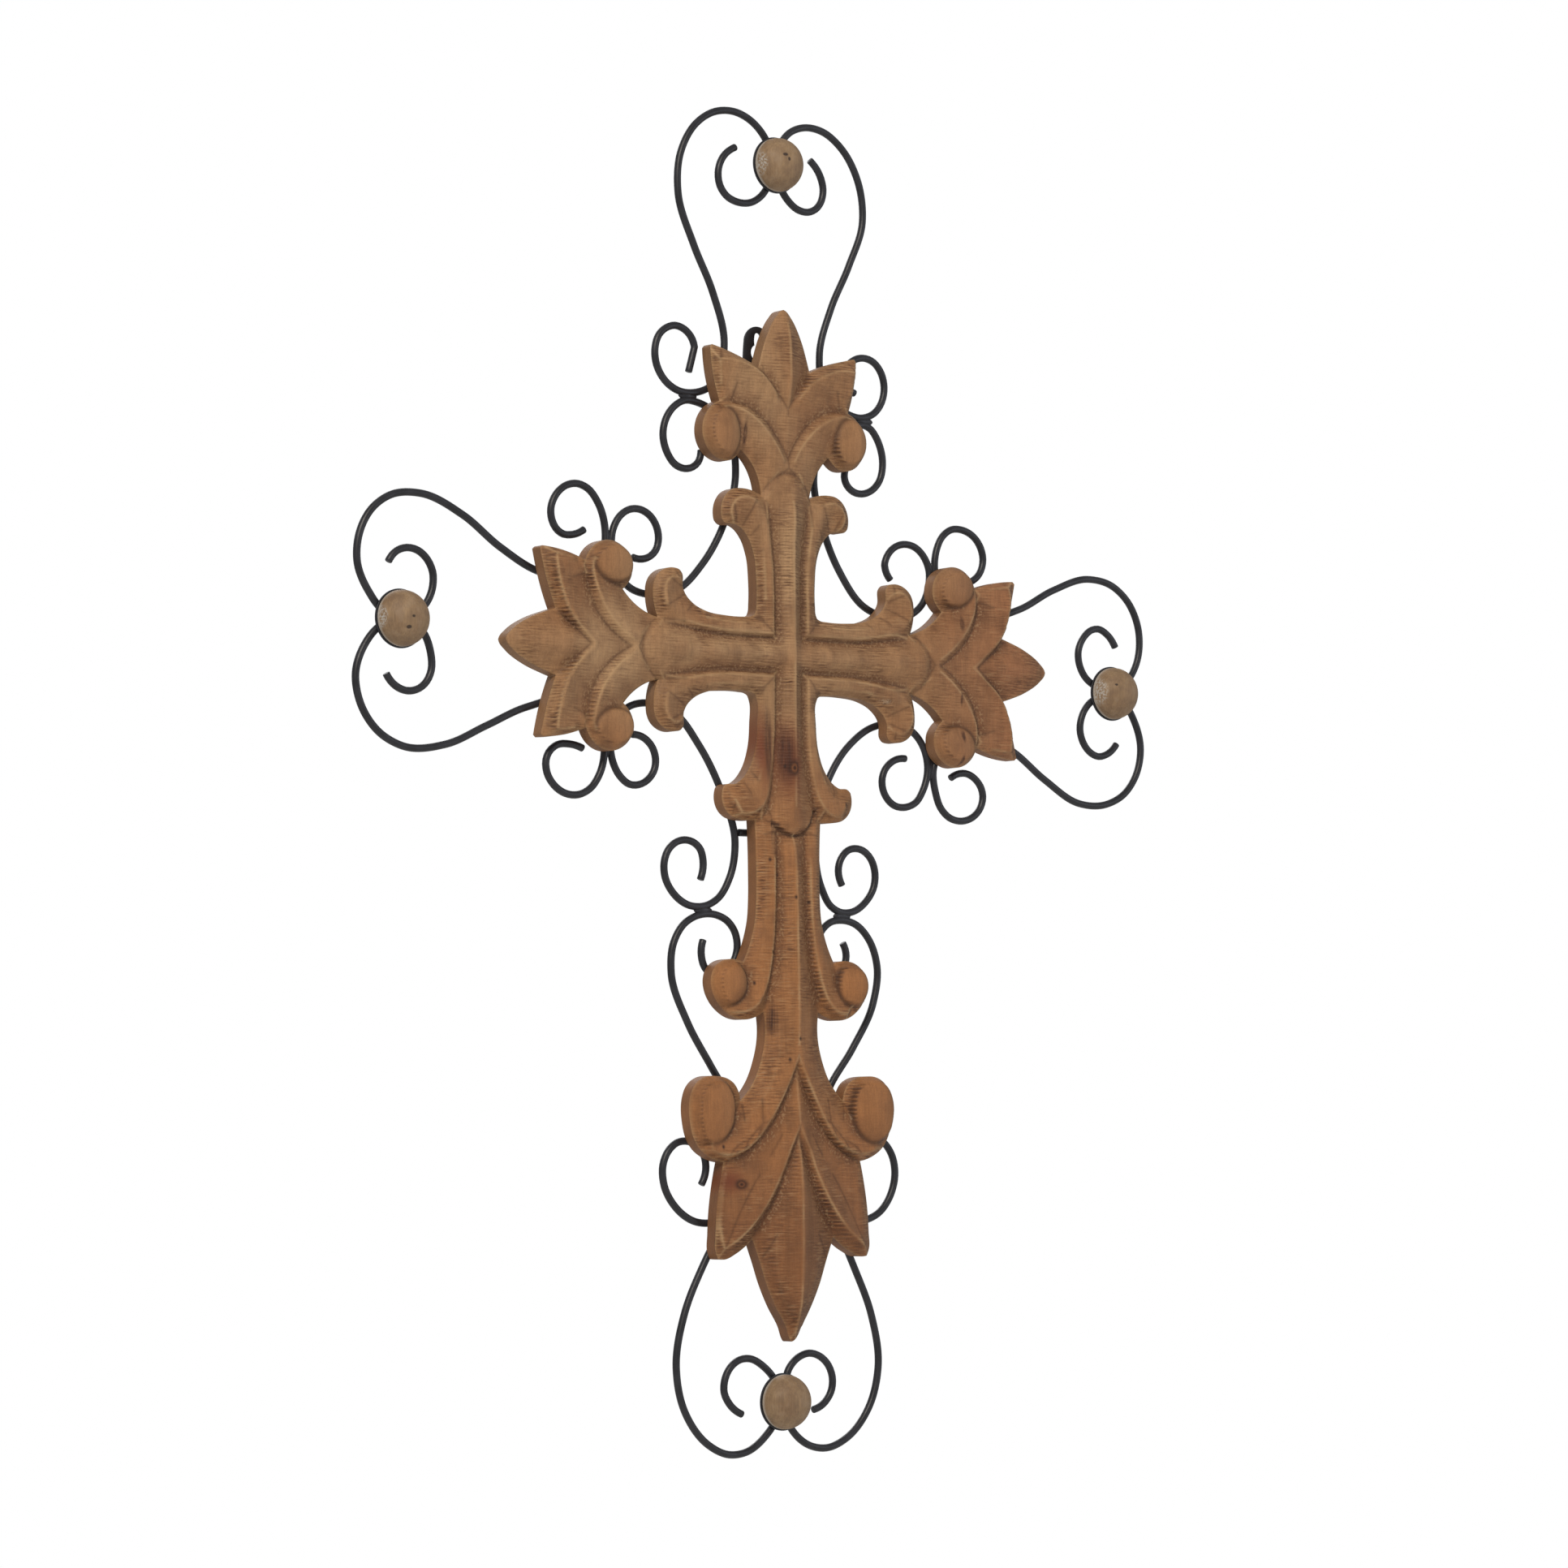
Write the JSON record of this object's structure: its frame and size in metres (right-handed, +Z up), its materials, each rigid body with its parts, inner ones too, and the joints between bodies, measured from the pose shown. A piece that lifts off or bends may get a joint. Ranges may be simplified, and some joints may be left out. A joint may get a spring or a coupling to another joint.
{
  "type": "wall cross",
  "caption": "Carved wooden wall cross with leaf-shaped ends on a frame of bent black rod scrolls, hung by a keyhole strap.",
  "frame": {"origin": "on the back face of the hanger strap, below its keyhole", "axes": "+Z up along the shaft, +Y into the wall, +X to the right as seen from the room"},
  "size_m": [0.6734, 0.0307, 0.9084],
  "materials": {
    "stained_carved_wood": "brown stain rubbed back on the edges, matt",
    "black_painted_steel": "satin black paint",
    "bare_turned_wood": "bare, greyish"
  },
  "bodies": {
    "root": {"carved_cross": "stained_carved_wood", "heart_top_left": "black_painted_steel", "heart_top_right": "black_painted_steel", "heart_left_upper": "black_painted_steel", "heart_left_lower": "black_painted_steel", "heart_right_upper": "black_painted_steel", "heart_right_lower": "black_painted_steel", "heart_foot_left": "black_painted_steel", "heart_foot_right": "black_painted_steel", "scroll_upper_left": "black_painted_steel", "scroll_upper_right": "black_painted_steel", "scroll_lower_left": "black_painted_steel", "scroll_lower_right": "black_painted_steel", "scroll_shaft_left": "black_painted_steel", "scroll_shaft_right": "black_painted_steel", "tie_bar_upper": "black_painted_steel", "tie_bar_lower": "black_painted_steel", "hanger_strap": "black_painted_steel", "weld_top_left": "black_painted_steel", "weld_top_right": "black_painted_steel", "weld_shaft_left": "black_painted_steel", "weld_shaft_right": "black_painted_steel", "weld_arm_left_upper": "black_painted_steel", "weld_arm_left_lower": "black_painted_steel", "weld_arm_right_upper": "black_painted_steel", "weld_arm_right_lower": "black_painted_steel", "disc_top": "black_painted_steel", "disc_left": "black_painted_steel", "disc_right": "black_painted_steel", "disc_foot": "black_painted_steel", "button_top": "bare_turned_wood", "button_left": "bare_turned_wood", "button_right": "bare_turned_wood", "button_foot": "bare_turned_wood"}
  },
  "joints": []
}
